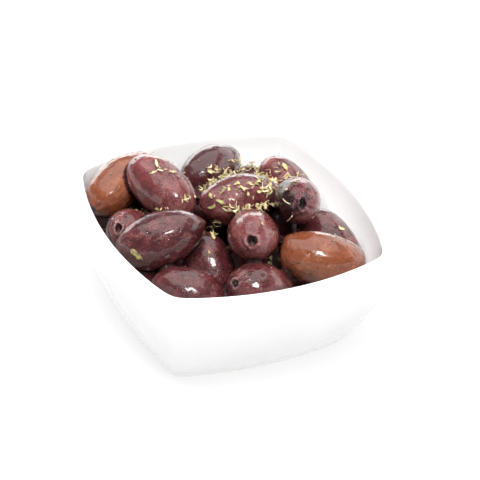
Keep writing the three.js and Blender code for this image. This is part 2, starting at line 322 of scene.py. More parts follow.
# Where an olive's middle is and which way its stem end points; its length and girth; its skin, scar and
# tone, from dark 0 to pale 1; how much fuller it is at the stem, how drawn out at the tip and how blunt
# at the stem; how much painted shade darkens one side against the other; and how puckered.
Olive = namedtuple(
    "Olive",
    "at turn lean long girth skin scar tone full point blunt sided rucked",
    defaults=("plum", "shut", 0.5, 0.07, 0.18, 0.0, 0.1, 1.0),
)
UPPER_OLIVES = {
    "olives_back": [
        Olive(
            (-18.3, 14.3, 41.3), -66.8, -15.7, 26.8, 16.5, tone=0.66, full=0.0, point=-0.05, rucked=1.7
        ),
        Olive((-29, 11, 28.5), -138, 37, 27, 15, "plum", "ringed", 0.62),
        Olive((7, 29.5, 34), -153, 3, 27, 15, tone=0.15),
        Olive((28, 13.5, 30.5), 109, 26, 27.5, 16, tone=0.6),
    ],
    "olives_middle": [
        Olive((4.5, 3, 39.5), 180, 0, 28, 16, tone=0.6, rucked=1.8),
        Olive((0.5, -14.5, 38), -118, 27, 27, 16.5, "plum", "open", 0.75, rucked=1.6),
        Olive((30, -15, 27.5), 117, 35, 27.5, 16, tone=0.52),
    ],
    "olives_front": [
        Olive((-27, -6, 37), 171, -18, 29, 17.5, tone=0.33, rucked=1.8),
        Olive((-23, -22, 26), 153, 16, 25.6, 16, tone=0.35, rucked=1.5),
        Olive((-11.5, -12, 24), 99, 53, 27.5, 16.5, tone=0.3, rucked=1.8),
        Olive((-1.5, -28.5, 26.5), -170, 32, 26.5, 17.5, "plum", "puckered", 0.45, rucked=2.0),
    ],
    "olives_chestnut": [
        Olive((-26, 28.5, 36), -149, -13, 30, 15, "chestnut", "puckered", 0.4, 0.16, rucked=1.8),
        Olive(
            (19.3, -26.5, 32.9), 156, 10, 27.5, 17, "chestnut", "shut", 0.35, 0.0, -0.4, -0.35, rucked=2.2
        ),
    ],
    "olive_black": [Olive((17.4, -9.6, 44.5), -109, 30, 27.5, 14.8, "black", "slit", 0.6, sided=0.5)],
}
# The lower olives are painted darker than the upper ones, as painted shade deep in the heap.
LOWER_TONE = 0.2
LOWER_OLIVES = [
    Olive(*lies, tone=LOWER_TONE)
    for lies in [
        ((-25.5, 27, 18), 6, -45, 27, 16.5),
        ((-9.5, 32.5, 25.5), 3, -10, 27, 16.5),
        ((7, 29.5, 15.5), 17, 29, 27, 16),
        ((27, 28.5, 18.5), 136, 35, 26, 15.5),
        ((30, 1.5, 15.5), 105, -21, 27.5, 16),
        ((24, -26, 15), 51, -32, 27, 17),
        ((6.5, -19.5, 13.5), -13, -13, 26, 16.5),
        ((-10, -28.5, 13.5), 174, 13, 26.5, 16.5),
        ((-31, -3.5, 20), 77, -11, 27, 16),
        ((-24.5, -17, 12.5), 62, 5, 27, 16),
        ((-4.5, 17, 26), 27, -21, 27, 16.5),
        ((-17, 7, 15.5), 106, -14, 28, 16.5),
        ((17, 2.5, 24.5), 125, -79, 26.5, 15.5),
        ((12.5, -12.5, 23.5), 141, 8, 27, 16.5),
        ((16, 18, 21.5), 156, 51, 27, 16),
    ]
]
UPPER_GRID, LOWER_GRID = (120, 104), (44, 44)  # rows from stem to tip, columns around
ROW_CROWDING = 0.55  # how much closer the rows are at both ends
TIP_NUB, TIP_WIDTH = 0.5, 1.1  # the little point that the flower left
LEAST_BOW, MOST_BOW = 0.15, 0.45  # how far an olive's middle bends sideways
Relief = namedtuple("Relief", "height count run seed")
LUMPS, RIPPLES = Relief(0.22, 6, 15, 0), Relief(0.055, 10, 3.4, 500)
PUCKERS, PIMPLES = Relief(0.026, 14, 1.6, 900), Relief(0.012, 14, 0.95, 700)
RELIEF_EDGE = 2.2  # how fast it rises from nothing at both ends
WRINKLE_RUN = [1.0, 1.0, 0.6]  # the wrinkles are longer along the olive than round it
DISH_GAP = 0.4
# How wide the pit is, how much longer than wide and how deep, and how high its lip, the creases
# and the rings round it are. The places and widths of the last three are in pit radii.
Scar = namedtuple("Scar", "radius stretch depth lip creases rings")
EDGE_LOBES = {2: 0.07, 3: 0.07, 5: 0.06}  # how far the pit's edge strays, in that many lobes
PIT_ROUNDING = 0.7
LIP_AT, LIP_WIDTH, LIP_UNEVEN = 1.3, 0.35, 0.6
CREASES_AT, CREASES_WIDTH = 2.2, 1.3
RINGS_AT, RINGS_WIDTH, RINGS_APART = 3.0, 1.4, 1.3
FAR_FROM_SCAR = 20.0
GRAIN_SHIFT = 60  # each olive's patches come from another part of the same noise
SCARS = {
    "shut": Scar(0.8, 1.0, 0.3, 0.05, 0.04, 0.0),
    "open": Scar(1.7, 1.1, 1.8, 0.42, 0.06, 0.04),
    "ringed": Scar(1.2, 1.2, 1.4, 0.32, 0.04, 0.14),
    "puckered": Scar(1.4, 1.0, 0.5, 0.14, 0.10, 0.0),
    "slit": Scar(1.0, 2.3, 1.2, 0.34, 0.12, 0.0),
}


def belly(olive, cos):
    """The olive's radius where the height is cos of the way to its end: girth/2 sin^p (1 + full
    cos), with p = 1 + point ((1 - cos) / 2)^2 + blunt ((1 + cos) / 2)^2, which draws out or
    blunts the tip and the stem end."""
    power = 1 + olive.point * ((1 - cos) / 2) ** 2 + olive.blunt * ((1 + cos) / 2) ** 2
    return olive.girth / 2 * np.sqrt(np.clip(1 - cos**2, 0, 1)) ** power * (1 + olive.full * cos)


def stem_frame(olive):
    """Unit vectors: towards the stem end, and two across it."""
    turn, lean = math.radians(olive.turn), math.radians(olive.lean)
    stem = np.array([math.cos(lean) * math.cos(turn), math.cos(lean) * math.sin(turn), math.sin(lean)])
    side = np.array([-math.sin(turn), math.cos(turn), 0.0])
    return np.stack([side, np.cross(stem, side), stem])


def keep_in_bowl(points):
    """Presses in what would pass through the wall, to DISH_GAP from it, as soft skin lies
    against a wall."""
    z = np.clip(points[..., 2] - DISH_GAP, FLOOR_HEIGHT, BOWL_HEIGHT)
    half = np.maximum(inner_half(z), 1.0) - DISH_GAP
    angle = np.arctan2(points[..., 1], points[..., 0])
    room = plan_radius(angle, half, outer_bulge(z))
    reach = np.hypot(points[..., 0], points[..., 1])
    over = (points[..., 2] < BOWL_HEIGHT + 1) & (reach > room)
    shrink = np.where(over, room / np.maximum(reach, 1e-6), 1.0)
    pressed = points.copy()
    pressed[..., :2] *= shrink[..., None]
    return pressed


def bell(value, middle, width):
    """exp(-((value - middle) / width)^2): 1 at the middle, and less on both sides of it."""
    return np.exp(-(((value - middle) / width) ** 2))


def olive_skin(olive, grid, seed):
    """Radius = belly(cos a) and height = long/2 cos a, for a from 0 at the stem to pi at the tip.
    Then come the tip's nub, the scar's pit with its lip, creases and rings, a sideways bow, and
    lumps and wrinkles all over. Gives the skin and three fields: the place on the olive itself,
    how many pit radii each point is from the scar, and the tone."""
    rows, columns = grid
    draw = np.random.default_rng(seed)
    share = np.linspace(0, 1, rows + 2)
    a = (np.pi * (share - ROW_CROWDING * np.sin(2 * np.pi * share) / (2 * np.pi)))[:, None]
    around = np.linspace(0, 2 * np.pi, columns, endpoint=False)

    def lobes(count):
        return np.cos(count * around + draw.uniform(0, 6))

    def relief(points, kind, rucked=1.0):
        return kind.height * rucked * waves(points, kind.count, kind.run, seed + kind.seed)

    radius = belly(olive, np.cos(a))
    height = olive.long / 2 * np.cos(a) - TIP_NUB * bell(radius, 0, TIP_WIDTH) * (a > np.pi / 2)
    scar = SCARS[olive.scar]
    near_stem = (a < np.pi / 2) * 1.0
    ragged = sum((size * lobes(count) for count, size in EDGE_LOBES.items()), 1)
    out = radius / scar.radius * np.hypot(np.cos(around), np.sin(around) / scar.stretch) * ragged
    pit = np.clip(1 - out, 0, 1)
    lip = scar.lip * bell(out, LIP_AT, LIP_WIDTH) * (1 + LIP_UNEVEN * lobes(1))
    creases = (lobes(7) + 0.6 * lobes(11)) * scar.creases * bell(out, CREASES_AT, CREASES_WIDTH)
    rings = scar.rings * np.cos(2 * np.pi * out / RINGS_APART) * bell(out, RINGS_AT, RINGS_WIDTH)
    height = height + near_stem * (lip - scar.depth * pit**PIT_ROUNDING + creases + rings)
    bow = draw.uniform(LEAST_BOW, MOST_BOW) * (np.sin(a) ** 2 - 0.5)
    across = radius * np.cos(around) + bow
    other = radius * np.sin(around)
    own = np.stack(np.broadcast_arrays(across, other, height), -1)
    outward = own / np.maximum(np.linalg.norm(own, axis=-1, keepdims=True), 1e-6)
    swell = relief(own, LUMPS) + relief(own * WRINKLE_RUN, RIPPLES)
    swell = swell + relief(own * WRINKLE_RUN, PUCKERS, olive.rucked)
    swell = swell + relief(own, PIMPLES, olive.rucked)
    swell = swell * np.clip(np.sin(a) * RELIEF_EDGE, 0, 1)
    own = own + outward * swell[..., None]
    placed = keep_in_bowl(own @ stem_frame(olive) + np.array(olive.at))
    loops = placed[rows:0:-1]
    skin = closed_skin(placed[-1, :1].mean(0), loops, placed[0, :1].mean(0))
    offset = draw.uniform(-GRAIN_SHIFT, GRAIN_SHIFT, 3)
    gap = np.where(a < np.pi / 2, out, FAR_FROM_SCAR)
    gap = np.concatenate([gap[-1, :1], gap[rows:0:-1].ravel(), gap[0, :1]])
    own = np.vstack([own[-1, :1], own[rows:0:-1].reshape(-1, 3), own[0, :1]])
    # Painted shade: the tone darkens towards one side of the olive, as the shade on its flank.
    tone = olive.tone + olive.sided * own[:, 0] / (olive.girth / 2)
    return skin, own + offset, gap, tone


Skin = namedtuple("Skin", "deep body bloom fleck scar_ring")
SKINS = {
    "plum": Skin(
        deep=(0.041, 0.009, 0.011),
        body=(0.142, 0.031, 0.032),
        bloom=(0.223, 0.078, 0.075),
        fleck=(0.409, 0.240, 0.205),
        scar_ring=(0.320, 0.196, 0.196),
    ),
    "chestnut": Skin(
        deep=(0.129, 0.034, 0.015),
        body=(0.209, 0.061, 0.023),
        bloom=(0.285, 0.107, 0.062),
        fleck=(0.045, 0.018, 0.012),
        scar_ring=(0.089, 0.045, 0.036),
    ),
    "black": Skin(
        deep=(0.005, 0.002, 0.003),
        body=(0.151, 0.030, 0.036),
        bloom=(0.240, 0.098, 0.102),
        fleck=(0.223, 0.134, 0.134),
        scar_ring=(0.196, 0.107, 0.125),
    ),
}
SKIN_OIL, LOWER_OIL = {"plum": 1.0, "chestnut": 1.0, "black": 0.6}, 0.2
DRY_BELOW = 0.6  # skin with less oil than this is rougher
# How many to a millimetre, from the largest patches to the finest specks and wrinkles.
PATCHES, BLOOMS, BLOTCHES, MOTTLES, GRITS, SPECKS = 0.11, 0.17, 0.34, 1.1, 2.2, 3.2
PORES, WRINKLES, FINE_WRINKLES = 1.1, 0.5, 1.7
SKIN_RELIEF = 0.30


def olive_surface(name, skin, oil):
    """Wet skin: deep and lighter patches, a paler bloom, fine mottling and tiny pale pores. The scar is a
    ragged pale ring round a pit painted near black as painted shade. Oil lies over it all as a coat, thin
    in places, and skin with little oil is duller."""
    surface = Surface(name, IOR=1.33 + 0.08 * oil, Coat_Roughness=0.02, Coat_IOR=1.50)
    grain = surface.field("grain", "Vector")
    tone = surface.field("tone")
    stem = surface.field("stem")
    patch = surface.noise(grain, PATCHES, 3.0, 0.55, 0.8)
    blotch = surface.noise(grain, BLOTCHES, 4.0, 0.6, 0.5)
    mottle = surface.noise(grain, MOTTLES, 5.0, 0.7)
    grit = surface.noise(grain, GRITS, 2.0, 0.6)
    bloom = surface.noise(grain, BLOOMS, 4.0, 0.6, 0.5)
    pores = surface.add("TexVoronoi", {}, {"Vector": grain, "Scale": PORES}, "Distance")
    pore = pores.step(0.16, 0.06) * mottle.step(0.44, 0.60) * bloom.step(0.42, 0.60)
    depth = patch * 1.1 + blotch * 0.4 + mottle * 0.4 + grit * 0.55 + tone * 0.8 - 1.17
    color = surface.blend(depth.step(0.20, 0.85), skin.deep, skin.body)
    veil = (bloom + mottle * 0.25 + grit * 0.3 + tone * 0.2 - 0.375).step(0.46, 0.80)
    color = surface.blend(veil * 0.8, color, skin.bloom)
    speck = surface.noise(grain, SPECKS, 2.0, 0.6).step(0.55, 0.66) * bloom.step(0.62, 0.42)
    color = surface.blend(speck * 0.6, color, skin.deep)
    color = surface.blend(pore * 0.5, color, skin.fleck)
    ring = stem.step(0.80, 1.05) * stem.step(1.7, 1.15) * blotch.step(0.35, 0.62)
    color = surface.blend(ring * 0.55, color, skin.scar_ring)
    # Painted shade: the scar's pit is painted near black, as the shade inside the hollow.
    color = surface.blend(stem.step(1.05, 0.6), color, tuple(0.2 * c for c in skin.deep))
    wrinkle = surface.noise(grain, WRINKLES, 4.0, 0.6, 0.8)
    fine = surface.noise(grain, FINE_WRINKLES, 3.0, 0.65)
    relief = wrinkle * 0.42 + fine * 0.24 + grit * 0.12 + pore * 0.05
    roughness = 0.04 + 0.8 * max(DRY_BELOW - oil, 0) + 0.09 * mottle + pore * 0.1
    coat = (bloom.step(0.80, 0.40) * 0.2 + 0.8) * oil
    surface.finish(color, roughness, coat, relief, SKIN_RELIEF)
    return surface


def make_olives(name, skin, olives, grid, seed, oil=1.0):
    """One piece of all the olives of a kind. Gives their skins."""
    made = [olive_skin(olive, grid, seed + i) for i, olive in enumerate(olives)]
    shapes, grains, stems, tones = zip(*made)
    fields = {"grain": np.vstack(grains), "stem": np.concatenate(stems), "tone": np.concatenate(tones)}
    surface = olive_surface(name + "_skin", SKINS[skin], oil)
    piece = make_piece(name, shapes, surface, fields)
    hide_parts("olives")
    return shapes


heap_shapes = []
for count, (name, olives) in enumerate(UPPER_OLIVES.items()):
    kind = olives[0].skin
    heap_shapes += make_olives(name, kind, olives, UPPER_GRID, 100 + 20 * count, SKIN_OIL[kind])
heap_shapes += make_olives("olives_lower", "plum", LOWER_OLIVES, LOWER_GRID, 400, LOWER_OIL)


# ---- The bottom of the heap --------------------------------
# The olives that no gap shows: one bumpy mound, painted near black as the shade deep in the heap, that
# fills the bowl's bottom and that the lowest olives stand in.

CORE_BASE, CORE_EDGE, CORE_CROWN = FLOOR_HEIGHT + 3 * DISH_GAP, 9.0, 7.0
CORE_RINGS = 40
CORE_TUCK = 0.86  # how much narrower its underside is
CORE_BUMP, CORE_BUMPS, CORE_RUN = 1.6, 6, 16
# The mound's colours are painted shade, darker than the olives it stands for.
CORE_DARK, CORE_LIGHT = (0.02, 0.008, 0.009), (0.06, 0.022, 0.024)
CORE_MOTTLES = 0.4  # how many to a millimetre


def core_skin():
    """The hollow's outline shrunk ring by ring to the middle, lifted by crown (1 - s^2), where s
    is the share of the way out, with bumps the size of olives; and its underside on the floor."""
    share = np.linspace(0.98, 0.03, CORE_RINGS)
    rise = CORE_EDGE + CORE_CROWN * (1 - share**2)
    half = inner_half(np.full(CORE_RINGS, CORE_EDGE)) - DISH_GAP
    loops = square_loops(half, outer_bulge(np.full(CORE_RINGS, CORE_EDGE)), rise)
    loops[..., :2] *= share[:, None, None]
    loops[..., 2] += CORE_BUMP * waves(loops * [1, 1, 0], CORE_BUMPS, CORE_RUN, seed=9)
    low = loops[:1].copy()
    low[..., 2] = CORE_BASE
    low[..., :2] *= CORE_TUCK
    return closed_skin([0, 0, CORE_BASE], np.concatenate([low, loops]), loops[-1].mean(0))


core = core_skin()
# Painted shade: the mound is coloured near black where the heap is deepest.
core_surface = Surface("packed_olives_in_shade", IOR=1.3)
core_mottle = core_surface.noise(core_surface.field("grain", "Vector"), CORE_MOTTLES, 4.0, 0.6)
core_surface.finish(core_surface.blend(core_mottle, CORE_DARK, CORE_LIGHT), 0.7)
packed = make_piece("olives_packed", [core], core_surface, {"grain": core[0]})
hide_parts("olives")


# ---- The oil in the creases ------------------------------
# The oil that dresses the olives has run down between them and stands in the creases where two of them
# touch. Its colour is painted shade: near black, and darker still where it stands deep.

OIL_VOXEL, OIL_RUNS = 0.68, 5  # how finely and how often the heap's skin is evened out
OIL_SINK, OIL_FILM = 0.14, 0.15
SCAR_ROOM = 3.0
# Painted shade: the crease oil is coloured near black, and darker the deeper the crease.
OIL_THIN, OIL_DEEP = (0.050, 0.014, 0.014), (0.014, 0.006, 0.006)
OIL_DARK_AT = 0.5
OIL_RIPPLES, OIL_RELIEF = 700.0, 0.5  # how many to a metre, and how high


def outside(points, olive):
    """How far points are outside an olive, along its own radius, from its formula."""
    own = (points - np.array(olive.at)) @ stem_frame(olive).T
    cos = np.clip(own[:, 2] / (olive.long / 2), -1, 1)
    past = np.maximum(np.abs(own[:, 2]) - olive.long / 2, 0)
    return np.hypot(own[:, 0], own[:, 1]) - belly(olive, cos) + past


def all_of(items, field, columns, numbers=3, kind=float):
    """That field of all the items, each with so many numbers, as rows of so many columns."""
    values = np.empty(len(items) * numbers, kind)
    items.foreach_get(field, values)
    return values.reshape(-1, columns)


def crease_skin(points, faces):
    """The whole heap as one skin, evened out: that sinks what bulges under the olives and fills
    what is hollow between them. Only the filled creases are kept, with how deep they are filled,
    and they are drawn in by OIL_SINK so that their edges end under the olives' skins."""
    mesh = bpy.data.meshes.new("heap_skin")
    mesh.from_pydata(points * MM, [], faces)
    heap = put_in("heap_skin", mesh)
    one = heap.modifiers.new("one_skin", "REMESH")
    one.mode, one.voxel_size = "VOXEL", OIL_VOXEL * MM
    even = heap.modifiers.new("even", "SMOOTH")
    even.factor, even.iterations = 0.5, OIL_RUNS
    done = bpy.data.meshes.new_from_object(heap.evaluated_get(bpy.context.evaluated_depsgraph_get()))
    spots = all_of(done.vertices, "co", 3) / MM
    facings = all_of(done.vertices, "normal", 3)
    quads = all_of(done.loops, "vertex_index", 4, 1, int)
    upper = sum(UPPER_OLIVES.values(), [])
    depth = np.min([outside(spots, olive) for olive in [*upper, *LOWER_OLIVES]], 0)
    stems = [np.array(olive.at) + stem_frame(olive)[2] * olive.long / 2 for olive in upper]
    clear = np.linalg.norm(spots[:, None] - stems, axis=2).min(1) > SCAR_ROOM
    quads = quads[(depth[quads].max(1) > 0) & clear[quads].all(1)]
    used, quads = np.unique(quads, return_inverse=True)
    bpy.data.objects.remove(heap)
    bpy.data.meshes.remove(mesh)
    bpy.data.meshes.remove(done)
    spots = spots - OIL_SINK * facings
    return (spots[used], quads.reshape(-1, 4).tolist()), depth[used]


heap_points, heap_faces = joined(heap_shapes)
creases, crease_depth = crease_skin(heap_points, heap_faces)
oil_surface = Surface("standing_oil_painted_shade", IOR=1.3)
# Painted shade in the creases: the oil darkens with how deep the crease is filled.
filled = oil_surface.field("depth").step(0.0, OIL_DARK_AT)
ripple = oil_surface.noise(oil_surface.place(), OIL_RIPPLES, 2.0, 0.5)
oil_surface.finish(oil_surface.blend(filled, OIL_THIN, OIL_DEEP), 0.06, None, ripple, OIL_RELIEF)
oil = make_piece("oil_in_creases", [creases], oil_surface, {"depth": crease_depth})
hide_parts("olives")
film = oil.modifiers.new("thickness", "SOLIDIFY")
film.thickness, film.offset = OIL_FILM * MM, -1.0


# ---- The oil drops ---------------------------------------
# Small clear drops of the same oil that cling to the skins wherever they fell on the heap.

DROP_GRID = (5, 8)
DROP_TOP, DROP_SIDE = 0.16, 1.75  # the angles from its top that a drop's rings run between
DROP_LEAST, DROP_SPREAD = 0.12, 0.34  # radii: most are near the least
DROP_HEIGHTS, DROP_UNEVEN = (0.35, 0.6), 0.2  # in radii
DROP_COUNT = 900
HEAP_REACH, HEAP_CLEAR = 40.0, 90.0  # how far out they fall, and from how high
TOO_STEEP = 0.1
CLEAR_OIL = (1.0, 0.97, 0.90)


def frames_on(facings, draw):
    """Unit vectors for each facing: one across it, drawn at random, one across both, and it."""
    facing = np.array(facings)
    side = np.cross(facing, draw.normal(size=facing.shape))
    side /= np.linalg.norm(side, axis=1, keepdims=True)
    return np.stack([side, np.cross(facing, side), facing], 1)


def drop_skins(places, facings, seed):
    """Small domes of oil, all at once: radius = r sin(s), height = h cos(s), for s from 0 at the
    top to past the side, each with its own r from tiny to small and its own flatness."""
    draw = np.random.default_rng(seed)
    shape = (len(places), 1, 1)
    s = np.linspace(DROP_TOP, DROP_SIDE, DROP_GRID[0])[None, :, None]
    around = np.linspace(0, 2 * np.pi, DROP_GRID[1], endpoint=False)[None, None, :]
    wide = DROP_LEAST + DROP_SPREAD * draw.uniform(size=shape) ** 3
    tall = wide * draw.uniform(*DROP_HEIGHTS, shape)
    radius = wide * np.sin(s) * (1 + DROP_UNEVEN * np.cos(2 * around + draw.uniform(0, 6, shape)))
    own = np.broadcast_arrays(radius * np.cos(around), radius * np.sin(around), tall * np.cos(s))
    points = np.array(places)[:, None, None] + np.stack(own, -1) @ frames_on(facings, draw)[:, None]
    return [closed_skin(p[-1].mean(0), p[::-1], p[0].mean(0)) for p in points]


heap_tree = BVHTree.FromPolygons(heap_points.tolist(), heap_faces)


def land_dropped(x, y):
    """Where what falls at x, y comes to lie on the olives, and the way their skin faces there."""
    return heap_tree.ray_cast(Vector((x, y, HEAP_CLEAR)), Vector((0, 0, -1)))[:2]


drop_spots = np.random.default_rng(61).uniform(-HEAP_REACH, HEAP_REACH, (DROP_COUNT, 2))
landed = [land_dropped(*spot) for spot in drop_spots]
landed = [hit for hit in landed if hit[0] is not None and hit[1].z > TOO_STEEP]
drop_surface = Surface("clear_oil", IOR=1.47, Transmission_Weight=1.0)
drop_surface.finish(CLEAR_OIL, 0.02)
drops = make_piece("oil_drops", drop_skins(*zip(*landed), seed=62), drop_surface)
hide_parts("olives")


# ---- The view --------------------------------------------
# The camera looks down at the front left of the bowl from the other side of a table. It comes
# before the herbs, because some of those are placed where they are seen.

VIEW_AZIMUTH, VIEW_HEIGHT, VIEW_ROLL = math.radians(-28.8), math.radians(34.8), math.radians(6.2)
VIEW_DISTANCE, VIEW_RIGHT, VIEW_UP, VIEW_AIM = 800.0, 4.34, 6.18, 19.0
LENS, SENSOR, FRAME_PIXELS = 187.2, 36.0, 480
NEAREST, FARTHEST = 0.05, 20.0

back = np.array([
    math.sin(VIEW_AZIMUTH) * math.cos(VIEW_HEIGHT),
    -math.cos(VIEW_AZIMUTH) * math.cos(VIEW_HEIGHT),
    math.sin(VIEW_HEIGHT),
])
level = np.cross([0, 0, 1], back) / math.cos(VIEW_HEIGHT)
upright = np.cross(back, level)
right = math.cos(VIEW_ROLL) * level + math.sin(VIEW_ROLL) * upright
up = -math.sin(VIEW_ROLL) * level + math.cos(VIEW_ROLL) * upright
eye = np.array([0, 0, VIEW_AIM]) + back * VIEW_DISTANCE + right * VIEW_RIGHT + up * VIEW_UP

lens = bpy.data.cameras.new("view")
lens.lens, lens.sensor_width = LENS, SENSOR
lens.clip_start, lens.clip_end = NEAREST, FARTHEST
camera = put_in("view", lens)
standing = np.eye(4)
standing[:3] = np.stack([right, up, back, eye * MM], -1)
camera.matrix_world = Matrix(standing.tolist())
scene.camera = camera


# ---- The oregano scraps ----------------------------------
# Dried oregano rubbed over the heap: straw and grey green scraps of broken leaf, curled up and
# jagged, that have drifted into the creases and stick to the oil.

def land_seen(column, row):
    """Where the skin is seen at that pixel of the view, and the way it faces there."""
    focal = FRAME_PIXELS * LENS / SENSOR
    middle = FRAME_PIXELS / 2
    ray = (column - middle) / focal * right - (row - middle) / focal * up - back
    return heap_tree.ray_cast(Vector(eye), Vector(ray).normalized())[:2]


# Each drift runs from one pixel of the view to another.
Drift = namedtuple("Drift", "start end spread count")
DRIFTS = [
    Drift((201, 190), (213, 181), 4.0, 24),
    Drift((206, 185), (243, 171), 4.0, 40),
    Drift((208, 172), (238, 170), 3.5, 15),
    Drift((243, 171), (260, 166), 4.0, 20),
    Drift((226, 160), (242, 164), 3.0, 8),
    Drift((206, 196), (232, 190), 7.0, 9),
    Drift((230, 190), (258, 186), 7.0, 10),
    Drift((258, 166), (266, 198), 5.0, 30),
    Drift((266, 172), (273, 192), 4.5, 20),
    Drift((272, 182), (282, 180), 4.0, 10),
    Drift((284, 177), (304, 176), 2.0, 9),
    Drift((239, 209), (270, 205), 3.0, 28),
    Drift((222, 206), (236, 212), 4.0, 8),
    Drift((156, 170), (180, 176), 2.5, 5),
    Drift((180, 200), (194, 196), 2.0, 5),
    Drift((128, 212), (178, 208), 1.5, 5),
    Drift((207, 228), (218, 222), 2.5, 7),
    Drift((212, 234), (216, 238), 2.0, 4),
    Drift((268, 254), (276, 248), 3.0, 4),
]
# Behind the top of the heap, where the view doesn't reach, they fall along lines in plan.
FALLS = [
    Drift((-2, 17), (12, 17), 3.0, 16),
    Drift((14, 6), (24, 16), 4.0, 10),
    Drift((-20, 20), (-10, 22), 4.0, 4),
]
SCRAP_GRID = (7, 4)
SCRAP_THICKNESS = 0.08
SCRAP_ROLL = (0.2, 1.5)  # how far its sides are rolled up, in radians
SIDE_JAG, POINT_JAG, END_JAG = 0.28, 0.22, 0.1  # how ragged it is
SETTLED = 0.8  # how far it sinks to rest on its lowest point
OVERHUNG = -0.1  # skin that faces down more than this catches nothing
STRAW, TAN, DRY_GREEN = (0.792, 0.648, 0.378), (0.216, 0.149, 0.072), (0.324, 0.315, 0.117)
GREEN_DRAW = 7.31  # spreads a scrap's tone into a second number of its own
LEAF_GRAIN, LEAF_RELIEF = 1300.0, 0.15  # how many blotches to a metre, and how high
# How much painted shade darkens a scrap at its rim.
RIM_SHARE = 0.4


def rolled(first, second, angle):
    """Two coordinates after a turn by that angle, in their own plane."""
    cos, sin = np.cos(angle), np.sin(angle)
    return first * cos - second * sin, first * sin + second * cos


def scrap_skins(places, facings, seed, length, slimness, tilt, lift, curl, wedge):
    """Broken scraps of leaf, all at once. A scrap is u from -1 to 1 along and v from -1 to 1
    across. Its half-width runs from a lens to a wedge, with jagged sides, and it is rolled about
    its length: y = r sin(roll v), z = r (1 - cos(roll v)), and curls up along it by curl u^2.
    Then it is tilted by up to `tilt`, turned anyhow and lifted by up to `lift`. Gives the skins
    and their fields: a tone for each scrap, and how near its rim a point is."""
    draw = np.random.default_rng(seed)
    count = len(places)

    def pick(low, high, skew=1.0):
        return low + (high - low) * draw.uniform(size=(count, 1, 1)) ** skew

    u = np.linspace(-1, 1, SCRAP_GRID[0])[None, :, None]
    v = np.linspace(-1, 1, SCRAP_GRID[1])[None, None, :]
    half_long = pick(*length, 1.6) / 2
    half_wide = half_long * pick(*slimness)
    wedge = pick(0, wedge)
    outline = (1 - wedge) * (1 - u**2 * 0.97) ** 0.6 + wedge * (1.08 - u) / 2
    jag = 1 + SIDE_JAG * draw.uniform(-1, 1, (count, SCRAP_GRID[0], 1))
    jag = jag + POINT_JAG * draw.uniform(-1, 1, (count, *SCRAP_GRID))
    roll = pick(*SCRAP_ROLL) * curl
    turned = roll * v
    across = half_wide / roll * np.sin(turned) * outline * jag
    high = half_wide / roll * (1 - np.cos(turned)) * outline
    along = half_long * u * (1 + pick(-0.2, 0.2) * v)
    along = along + half_long * END_JAG * draw.uniform(-1, 1, across.shape)
    across = across + pick(-0.5, 0.5) * half_wide * u**2
    high = high + curl * half_long * (pick(-0.15, 0.5) * u**2 + pick(-0.25, 0.25) * u * v)
    turn, lean, bank = pick(0, 2 * np.pi), pick(-1, 1) * tilt, pick(-1, 1) * tilt
    along, high = rolled(along, high, lean)
    across, high = rolled(across, high, bank)
    frames = frames_on(facings, draw)[:, None]
    x, y = rolled(along, across, turn)
    high = high - high.min((1, 2), keepdims=True) * SETTLED + pick(0, 1) * lift + SCRAP_THICKNESS / 2
    points = np.array(places)[:, None, None] + np.stack([x, y, high], -1) @ frames
    rows, columns = SCRAP_GRID
    corner = (np.arange(rows - 1)[:, None] * columns + np.arange(columns - 1)).ravel()
    face = np.stack([corner, corner + columns, corner + columns + 1, corner + 1], -1).tolist()
    tones = np.repeat(draw.uniform(0, 1, count), rows * columns)
    rims = np.broadcast_to(np.maximum(u**4, v**4), along.shape).ravel()
    return [(p.reshape(-1, 3), face) for p in points], {"tone": tones, "rim": rims}


def herb_surface(name, pale, dark, green, green_share):
    """Dry leaf: each scrap has a tone of its own between the pale and dark colours, some are green, and
    all are blotched and veined, with painted shade darkening them towards the rim."""
    surface = Surface(name, IOR=1.4)
    place = surface.place()
    tone = surface.field("tone")
    blotch = surface.noise(place, LEAF_GRAIN, 4.0, 0.65)
    share = (tone * 0.5 + blotch * 1.9 - 0.85).step(0.1, 0.95)
    color = surface.blend(share, pale, dark)
    greens = (tone * GREEN_DRAW).fraction().step(green_share + 0.04, green_share - 0.04)
    color = surface.blend(greens * 0.75, color, green)
    # Painted shade: each scrap darkens towards its rim, as the shade at its edges.
    color = surface.blend(surface.field("rim") * RIM_SHARE, color, tuple(0.5 * c for c in dark))
    surface.finish(color, 0.42 + 0.3 * blotch, None, blotch, LEAF_RELIEF)
    return surface


def drift_places(drifts, land, seed):
    """Landings at random places along the drifts."""
    draw = np.random.default_rng(seed)
    found = []
    for drift in drifts:
        run = (np.arange(drift.count) + draw.uniform(size=drift.count)) / drift.count
        spots = np.outer(1 - run, drift.start) + np.outer(run, drift.end)
        spots += draw.normal(size=spots.shape) * drift.spread / 2
        found += [land(*spot) for spot in spots]
    return [hit for hit in found if hit[0] is not None and hit[1].z > OVERHUNG]


def sprinkle(name, landings, surface, seed, length, slimness, tilt, lift, curl, wedge=1.0):
    """One piece of scraps of a kind, at the places and facings where they landed. Lengths and
    slimness, the width over the length, run between two values."""
    landings = [(place, facing) for place, facing in landings if place is not None]
    scraps, fields = scrap_skins(*zip(*landings), seed, length, slimness, tilt, lift, curl, wedge)
    piece = make_piece(name, scraps, surface, fields)
    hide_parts("olives")
    sheet = piece.modifiers.new("thickness", "SOLIDIFY")
    sheet.thickness, sheet.offset = SCRAP_THICKNESS * MM, 0.0


